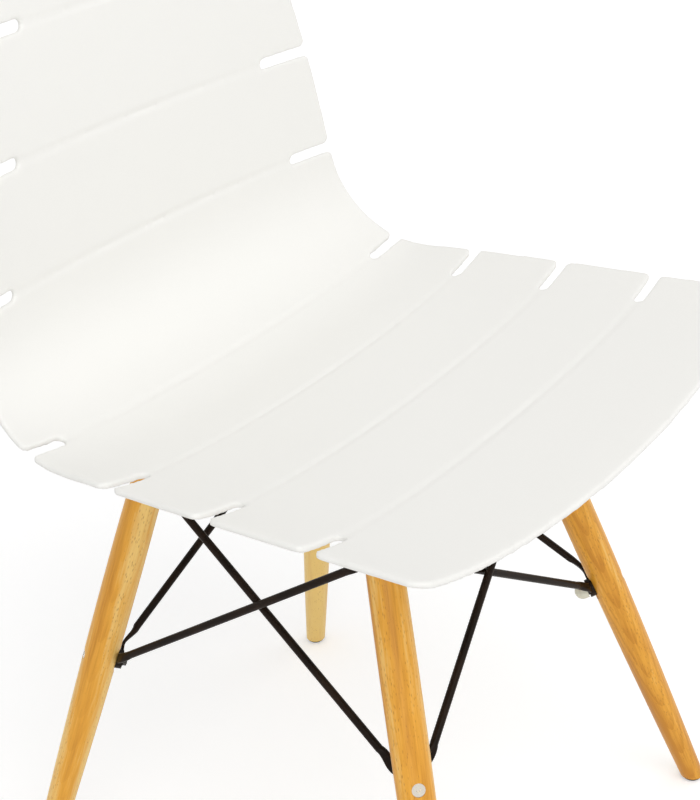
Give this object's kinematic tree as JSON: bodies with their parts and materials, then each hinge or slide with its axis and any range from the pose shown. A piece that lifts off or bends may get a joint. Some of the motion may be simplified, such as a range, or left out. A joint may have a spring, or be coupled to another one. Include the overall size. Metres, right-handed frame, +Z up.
{
  "type": "moulded plastic shell chair",
  "caption": "Dining chair: one-piece plastic shell with side slots and shallow cross grooves, on splayed turned beech legs braced by crossing steel struts.",
  "frame": {"origin": "on the floor, in the middle of the chair's outer box", "axes": "+Z up, the sitter faces -Y, +X to the sitter's left"},
  "size_m": [0.4692, 0.4551, 0.8082],
  "materials": {
    "shell_plastic": "satin moulded polypropylene",
    "beech": "clear lacquered beech",
    "black_steel": "satin powder coat",
    "black_fasteners": "black oxide",
    "nickel_fasteners": "nickel plated",
    "cap_plastic": "moulded, cream",
    "rubber": "moulded",
    "glide_plastic": "moulded"
  },
  "bodies": {
    "root": {"seat_shell": "shell_plastic", "leg_rear_right": "beech", "bracket_rear_right": "black_steel", "spacer_rear_right": "rubber", "foot_glide_rear_right": "glide_plastic", "leg_front_right": "beech", "bracket_front_right": "black_steel", "spacer_front_right": "rubber", "foot_glide_front_right": "glide_plastic", "leg_front_left": "beech", "bracket_front_left": "black_steel", "spacer_front_left": "rubber", "foot_glide_front_left": "glide_plastic", "leg_rear_left": "beech", "bracket_rear_left": "black_steel", "spacer_rear_left": "rubber", "foot_glide_rear_left": "glide_plastic", "strut_rear_rising_left": "black_steel", "strut_rear_rising_right": "black_steel", "strut_front_rising_left": "black_steel", "strut_front_rising_right": "black_steel", "strut_right_rising_back": "black_steel", "strut_right_rising_front": "black_steel", "strut_left_rising_back": "black_steel", "strut_left_rising_front": "black_steel", "leg_bolts_lower": "nickel_fasteners", "leg_bolts_upper": "nickel_fasteners", "bolt_washers_lower": "black_fasteners", "bolt_washers_upper": "black_fasteners", "dome_nuts_lower": "cap_plastic", "thin_nuts_lower": "black_fasteners", "dome_nuts_upper": "nickel_fasteners", "bracket_screws": "nickel_fasteners", "glide_nails": "nickel_fasteners"}
  },
  "joints": []
}
